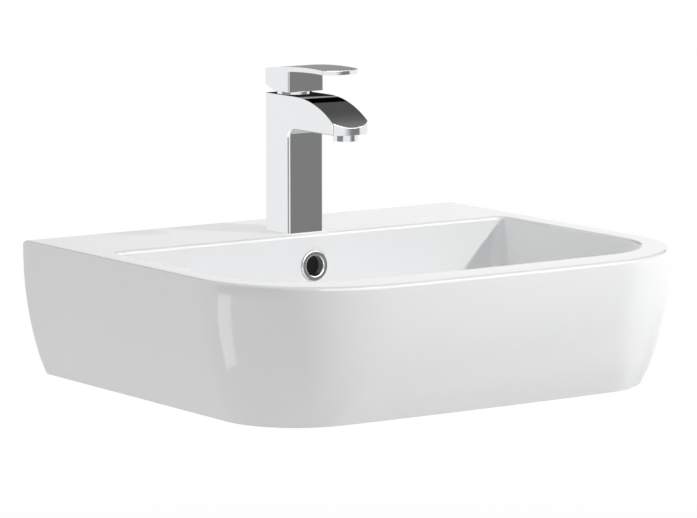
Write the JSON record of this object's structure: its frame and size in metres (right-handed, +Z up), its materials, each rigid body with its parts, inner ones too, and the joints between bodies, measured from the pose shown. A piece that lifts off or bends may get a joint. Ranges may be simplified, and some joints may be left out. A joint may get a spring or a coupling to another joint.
{
  "type": "washbasin with mixer tap",
  "caption": "Wall-hung ceramic washbasin with rounded front, tap ledge, overflow, click waste and a square single-lever chrome mixer tap.",
  "frame": {"origin": "on the wall face, midway between the two wall-fixing holes", "axes": "+X to the right for a person who looks at the wall, +Y into the wall, +Z up"},
  "size_m": [0.55, 0.476, 0.3408],
  "materials": {
    "glazed_ceramic": "gloss",
    "chrome": "polished",
    "steel": "satin",
    "brass": "turned",
    "black_rubber": "matte",
    "grey_plastic": "matte",
    "white_plastic": "matte",
    "valve_ceramic": "lapped",
    "red_blue_plastic": "gloss"
  },
  "bodies": {
    "basin_unit": {"basin": "glazed_ceramic", "overflow_ring": "chrome", "waste_body": "chrome", "waste_top_seal": "black_rubber", "waste_lower_seal": "black_rubber", "waste_backnut": "brass", "click_cartridge": "grey_plastic", "tap_body": "chrome", "tap_gasket": "black_rubber", "tap_stud": "steel", "clamp_rubber": "black_rubber", "clamp_plate": "steel", "clamp_nut": "brass", "cartridge_base": "grey_plastic", "inlet_seals": "black_rubber", "cartridge_housing": "grey_plastic", "fixed_disc": "valve_ceramic", "cartridge_nut": "brass", "cartridge_dome": "chrome", "aerator_housing": "chrome", "aerator_insert": "white_plastic", "aerator_washer": "black_rubber"},
    "guide": {"stem_guide": "white_plastic", "pivot_pin": "steel"},
    "lever": {"valve_stem": "steel", "lever_handle": "chrome", "grub_screw": "steel", "index_plug": "red_blue_plastic"},
    "disc": {"disc_carrier": "white_plastic", "moving_disc": "valve_ceramic"},
    "plug": {"waste_plug": "chrome", "plug_seal": "black_rubber"}
  },
  "joints": [
    {"name": "lever_swivel", "type": "hinge", "parent": "basin_unit", "child": "guide", "pos_m": [0, -0.0955, 0.198], "axis": [0, 0, 1], "range_deg": [-45, 45]},
    {"name": "lever_lift", "type": "hinge", "parent": "guide", "child": "lever", "pos_m": [0, -0.0955, 0.198], "axis": [-1, 0, 0], "range_deg": [0, 20]},
    {"name": "disc_slide", "type": "slide", "parent": "guide", "child": "disc", "axis": [0, -1, 0], "range_m": [0, 0.0044]},
    {"name": "plug_press", "type": "slide", "parent": "basin_unit", "child": "plug", "axis": [0, 0, -1], "range_m": [0, 0.008]}
  ],
  "couplings": [
    {"joint": "disc_slide", "follows": "lever_lift", "m_per_rad": 0.0125}
  ]
}
